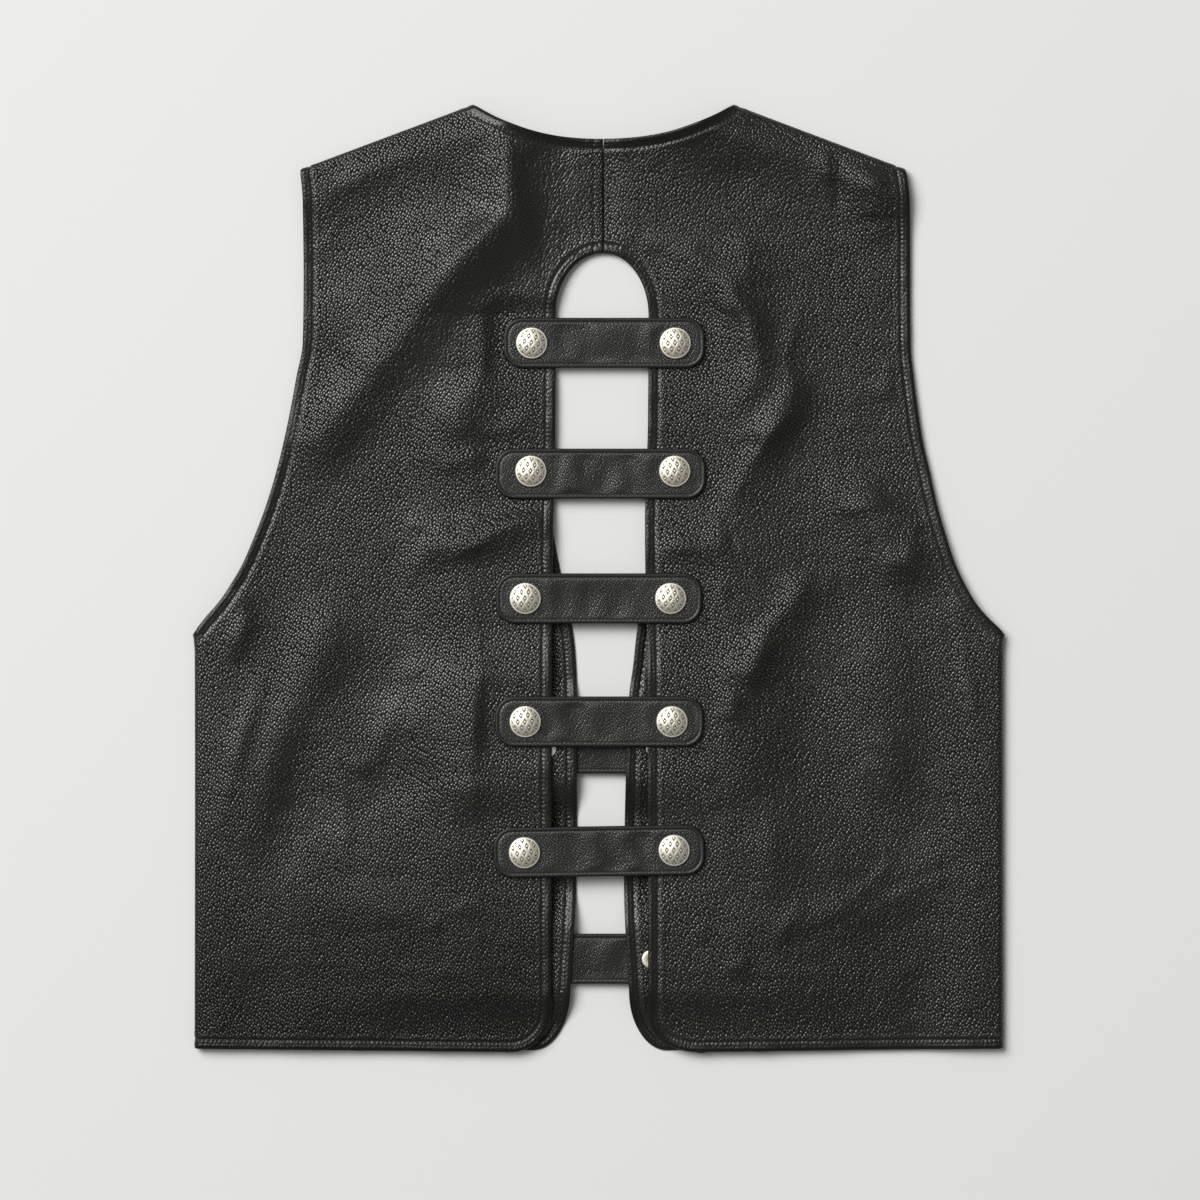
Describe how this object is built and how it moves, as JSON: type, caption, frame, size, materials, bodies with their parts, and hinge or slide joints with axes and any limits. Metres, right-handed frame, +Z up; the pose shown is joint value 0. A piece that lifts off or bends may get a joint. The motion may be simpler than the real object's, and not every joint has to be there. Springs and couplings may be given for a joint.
{
  "type": "leather vest laid flat",
  "caption": "Sleeveless black leather vest lying flat on its front, with an open back slot bridged by leather straps with domed studs.",
  "frame": {"origin": "middle of the vest's outline, on the surface that it lies on", "axes": "+Y from the hem to the neck, +X to the right of the picture, +Z up, out of the back"},
  "size_m": [0.5332, 0.622, 0.0221],
  "materials": {
    "leather": "semi-gloss pebble grain",
    "strap_leather": "semi-gloss, fine grain",
    "nickel": "polished nickel plate"
  },
  "bodies": {
    "root": {"back_left": "leather", "back_right": "leather", "front_left": "leather", "front_right": "leather", "back_strap_1": "strap_leather", "back_strap_2": "strap_leather", "back_strap_3": "strap_leather", "back_strap_4": "strap_leather", "back_strap_5": "strap_leather", "front_strap_1": "strap_leather", "front_strap_2": "strap_leather", "back_stud_1_left": "nickel", "back_stud_1_right": "nickel", "back_stud_2_left": "nickel", "back_stud_2_right": "nickel", "back_stud_3_left": "nickel", "back_stud_3_right": "nickel", "back_stud_4_left": "nickel", "back_stud_4_right": "nickel", "back_stud_5_left": "nickel", "back_stud_5_right": "nickel", "front_stud_1_left": "nickel", "front_stud_1_right": "nickel", "front_stud_2_left": "nickel", "front_stud_2_right": "nickel"}
  },
  "joints": []
}
